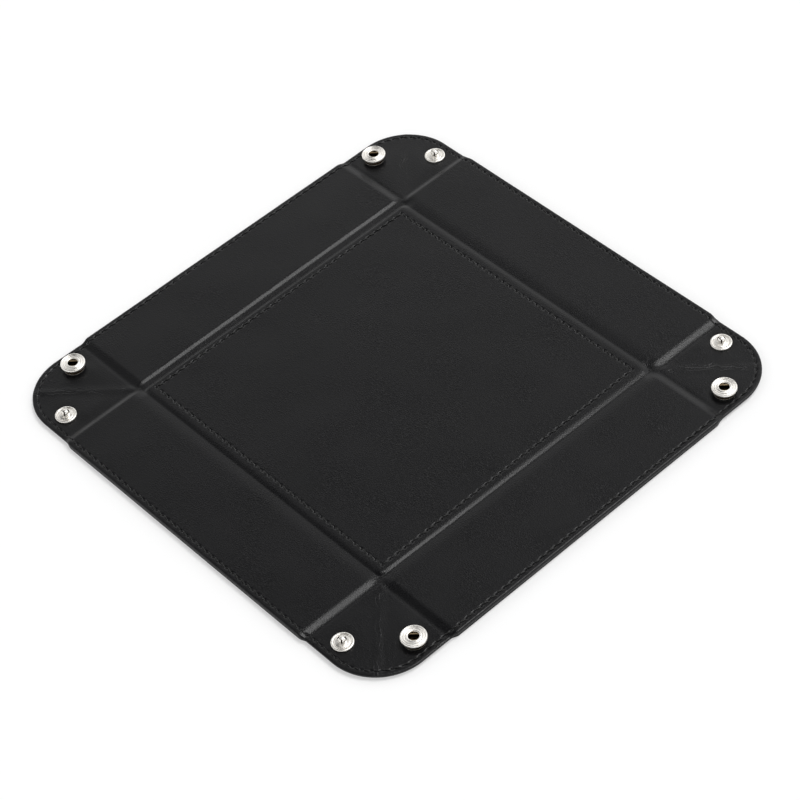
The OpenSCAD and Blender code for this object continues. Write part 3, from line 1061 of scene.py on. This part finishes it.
grain.links.new(result.inputs["Height"], height)
grain.links.new(result.inputs["Mottle"], pores)
grain.links.new(result.inputs["Worn"], firm)
print("leather grain:", len(grain.nodes), "nodes")

# %% [markdown]
# Folding also leaves fine creases near each corner's diagonal, which catch the light as thin broken
# lines. They are far too small to model, so they are a pattern too. How far a point lies beside the
# diagonal is the difference between its two distances from the middle. A slow noise bends that measure,
# ridges are raised at even steps of it, and a second noise breaks them up.

# %% Fine creases along the corners' diagonals
CREASE_STEP = 2.2
CREASES_FROM = 86
CREASE_BEND = 9.0

creases, given, result = new_group(
    "corner creases",
    [("Place", "NodeSocketVector", None), ("Width in mm", "NodeSocketFloat", 0.4)],
    [("Height", "NodeSocketFloat")],
)
spot = in_millimetres(creases, given.outputs["Place"])
parts = node(creases, "ShaderNodeSeparateXYZ", [(0, spot)])


def calc(operation, *values):
    return maths(creases, operation, *values)


sideways = calc("ABSOLUTE", parts.outputs["X"])
lengthways = calc("ABSOLUTE", parts.outputs["Y"])
bend = calc("SUBTRACT", noise(creases, spot, 0.11, 3.0), 0.5)
bend = calc("MULTIPLY", bend, CREASE_BEND)
beside = calc("ADD", calc("SUBTRACT", sideways, lengthways), bend)
steps = calc("PINGPONG", calc("ADD", beside, CREASE_STEP / 2), CREASE_STEP)
to_line = calc("ABSOLUTE", calc("SUBTRACT", steps, CREASE_STEP / 2))
off_line = calc("DIVIDE", to_line, given.outputs["Width in mm"])
ridge = calc("MAXIMUM", calc("SUBTRACT", 1.0, off_line), 0.0)
near = calc("LESS_THAN", calc("ABSOLUTE", beside), CREASE_STEP)
least = calc("MINIMUM", sideways, lengthways)
outside = calc("GREATER_THAN", least, CREASES_FROM)
broken = ranged(creases, noise(creases, spot, 0.16, 1.0), 0.0, 1.0, 0.42, 0.58)
shown = calc("MULTIPLY", calc("MULTIPLY", near, outside), broken)
creases.links.new(result.inputs["Height"], calc("MULTIPLY", ridge, shown))
print("corner creases:", len(creases.nodes), "nodes")


# %% Leather
def leather(name, dark, light, rough, pebbles_per_mm, depth, crease_height):
    material, tree, shader, _ = new_material(name)
    place = node(tree, "ShaderNodeAttribute", attribute_name=FLAT_PLACE).outputs["Vector"]
    skin = node(tree, "ShaderNodeGroup", [("Place", place)], node_tree=grain)
    skin.inputs["Pebbles per mm"].default_value = pebbles_per_mm
    folded = node(tree, "ShaderNodeGroup", [("Place", place)], node_tree=creases)
    raised = maths(tree, "MULTIPLY", folded.outputs["Height"], crease_height / depth)
    surface = maths(tree, "ADD", skin.outputs["Height"], raised)
    dress(tree, shader, mixed_colour(tree, skin.outputs["Mottle"], dark, light), surface, depth)
    dullness = ranged(tree, skin.outputs["Worn"], rough[1], rough[0], 0.45, 1.0)
    tree.links.new(shader.inputs["Roughness"], dullness)
    shader.inputs["Specular IOR Level"].default_value = 0.245
    return material


upper_leather = leather("upper leather", dark=(0.0032, 0.0032, 0.0037), light=(0.0056, 0.0056, 0.0063),
                        rough=(0.27, 0.33), pebbles_per_mm=0.95, depth=0.042, crease_height=0.07)
lower_leather = leather("lower leather", dark=(0.007, 0.007, 0.0075), light=(0.012, 0.012, 0.0125),
                        rough=(0.44, 0.5), pebbles_per_mm=1.25, depth=0.05, crease_height=0.04)

# %% [markdown]
# The thread is black, waxed and twisted. A wave pattern at a slant stands for the twist. The thread is as
# dark as the leather and only a little glossier, so each stitch shows by its gloss alone.

# %% Thread
thread_material, tree, shader, place = new_material("waxed thread")
twist = node(tree, "ShaderNodeTexWave", [("Vector", in_millimetres(tree, place))],
             Scale=1.4, Distortion=1.5, bands_direction="DIAGONAL").outputs["Fac"]
dress(tree, shader, mixed_colour(tree, twist, (0.002,) * 3, (0.006,) * 3), twist, 0.03, 0.6)
shader.inputs["Roughness"].default_value = 0.24
shader.inputs["Specular IOR Level"].default_value = 0.26

# %% [markdown]
# Nickel plate is a metal: what it shows is what stands around it. Tiny dents and smears of tarnish keep
# it from looking like glass. The springs are bare bronze wire. Painted shade, in a dim brass colour, lies
# under the sockets' heads, in their mouths, in the studs' slits and on the caps' barrels; in the mouths it
# is also the brown of their brass. The boards are never seen, and are plain grey board with its fibres.

# %% Metals and board
def metal(name, dark, light, rough, dent_size, dent_depth):
    material, tree, shader, place = new_material(name)
    spot = in_millimetres(tree, place)
    dents = noise(tree, spot, 1 / dent_size, 3.0)
    smears = noise(tree, spot, 0.35, 2.0)
    dress(tree, shader, mixed_colour(tree, smears, dark, light), dents, dent_depth)
    tree.links.new(shader.inputs["Roughness"], ranged(tree, smears, rough[0], rough[1], 0.3, 0.7))
    shader.inputs["Metallic"].default_value = 1.0
    return material


nickel = metal("nickel plate", (0.78, 0.75, 0.7), (0.92, 0.9, 0.86), (0.26, 0.42), 0.5, 0.02)
spring_bronze = metal("spring bronze", (0.2, 0.14, 0.08), (0.42, 0.33, 0.21), (0.26, 0.4), 0.5, 0.008)
# Painted shade for the snaps' hollows and the undersides of the sockets' heads, in a dim brass colour.
brass_and_painted_shade = metal("brass and painted shade", (0.028, 0.02, 0.012), (0.08, 0.056, 0.034), (0.4, 0.6), 0.6, 0.02)

board_material, tree, shader, place = new_material("grey board")
fibres = noise(tree, in_millimetres(tree, place), 1.2, 4.0)
dress(tree, shader, mixed_colour(tree, fibres, (0.2, 0.17, 0.13), (0.32, 0.28, 0.22)), fibres, 0.05, 0.5)
shader.inputs["Roughness"].default_value = 0.9


# %% Give each piece its finish
def paint_shade_inside(piece, radius, low, high, facing_in=False):
    """Paints shade, as a dim brass, on faces within a radius of the snap's axis and between two heights.
    With facing_in, faces that look outwards, up or down stay as they are."""
    piece.data.materials.append(brass_and_painted_shade)
    box = np.array(piece.bound_box) / MM
    axis = Vector((box.min(0) + box.max(0))[:2] / 2)
    for face in piece.data.polygons:
        from_axis, height = face.center.xy / MM - axis, face.center.z / MM
        inner = from_axis.length < radius and low < height < high
        outwards = from_axis.dot(face.normal.xy) > 0.3 * from_axis.length or abs(face.normal.z) > 0.2
        face.material_index = int(inner and not (facing_in and outwards))


for pieces, material, slot in (
    (leathers["upper"], upper_leather, "leather"),
    (leathers["lower"], lower_leather, "lining"),
    (threads, thread_material, "thread"),
    (snaps["nickel"], nickel, "nickel"),
    (snaps["wire"], spring_bronze, "spring_wire"),
):
    for piece in pieces:
        piece.data.materials.clear()
        piece.data.materials.append(material)
    print(slot + ":", len(pieces), "pieces")
# Painted shade: under each socket's head and in its mouth, in the studs' slits and on the caps' barrels.
for piece in snaps["nickel"]:
    if piece.name.endswith("shell"):
        paint_shade_inside(piece, 5.2, CORNER_TOP + 0.3, CORNER_TOP + 3.3)
    elif piece.name.endswith("stud_post"):
        paint_shade_inside(piece, 1.94, CORNER_TOP + 1.2, CORNER_TOP + 3.85, facing_in=True)
    else:
        paint_shade_inside(piece, 2.2, 1, 6.2)
for name, cad_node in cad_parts.items():
    if name.endswith("board"):
        cad_node.data.materials.clear()
        cad_node.data.materials.append(board_material)

# %% [markdown]
# ## Floor and light
#
# Black leather shows little but what it mirrors. Seen from the camera, its flat parts mirror the room
# behind and to the left, and its slopes mirror the big soft light overhead. So the room is bright low
# down, like the white walls of a studio, dimmer higher up, and glows softly round the one wide light,
# which stands a little behind the tray. The floor is white. To the camera alone it also shines a little
# by itself, because the photograph's white ground has had its shadows thinned out, and this thins the
# shadow without more light on the tray.

# %% Room
LAMP_DIRECTION = Vector((0.05, 0.41, 0.91)).normalized()
world = bpy.data.worlds.new("studio")
bpy.context.scene.world = world
world.use_nodes = True
tree = world.node_tree
tree.nodes.clear()
direction = node(tree, "ShaderNodeTexCoord").outputs["Generated"]
upwards = node(tree, "ShaderNodeSeparateXYZ", [(0, direction)]).outputs["Z"]
walls = ranged(tree, upwards, 1.5, 0.0, 0.58, 0.79)
towards_lamp = node(tree, "ShaderNodeVectorMath", [(0, direction)], operation="DOT_PRODUCT")
towards_lamp.inputs[1].default_value = LAMP_DIRECTION
glow = ranged(tree, towards_lamp.outputs["Value"], 0.0, 3.8, 0.9, 1.0)
light = node(tree, "ShaderNodeBackground", [("Strength", maths(tree, "ADD", walls, glow))])
tree.links.new(node(tree, "ShaderNodeOutputWorld").inputs["Surface"], light.outputs[0])

overhead = bpy.data.lights.new("overhead", "SUN")
overhead.energy = 0.9
overhead.angle = math.radians(24)
lamp = bpy.data.objects.new("overhead", overhead)
lamp.rotation_mode = "QUATERNION"
lamp.rotation_quaternion = LAMP_DIRECTION.to_track_quat("Z", "Y")
bpy.context.scene.collection.objects.link(lamp)

# %% Floor
clear_selection()
bpy.ops.mesh.primitive_plane_add(size=60, location=(0, 0, -0.02 * MM))
floor = bpy.context.active_object
floor.name = "studio_floor"
floor_material, tree, shader, place = new_material("white floor")
output = tree.nodes["Material Output"]
seen = node(tree, "ShaderNodeLightPath").outputs["Is Camera Ray"]
plain_white = node(tree, "ShaderNodeEmission", Color=(1, 1, 1, 1), Strength=1.0)
paler = node(tree, "ShaderNodeMixShader", [("Fac", ranged(tree, seen, 0.0, 0.4)), (1, shader.outputs[0]),
             (2, plain_white.outputs[0])])
tree.links.new(output.inputs["Surface"], paler.outputs[0])
shader.inputs["Base Color"].default_value = (0.94, 0.94, 0.94, 1)
shader.inputs["Roughness"].default_value = 0.6
shader.inputs["Specular IOR Level"].default_value = 0.2
floor.data.materials.append(floor_material)

scene = bpy.context.scene
scene.view_settings.view_transform = "Standard"
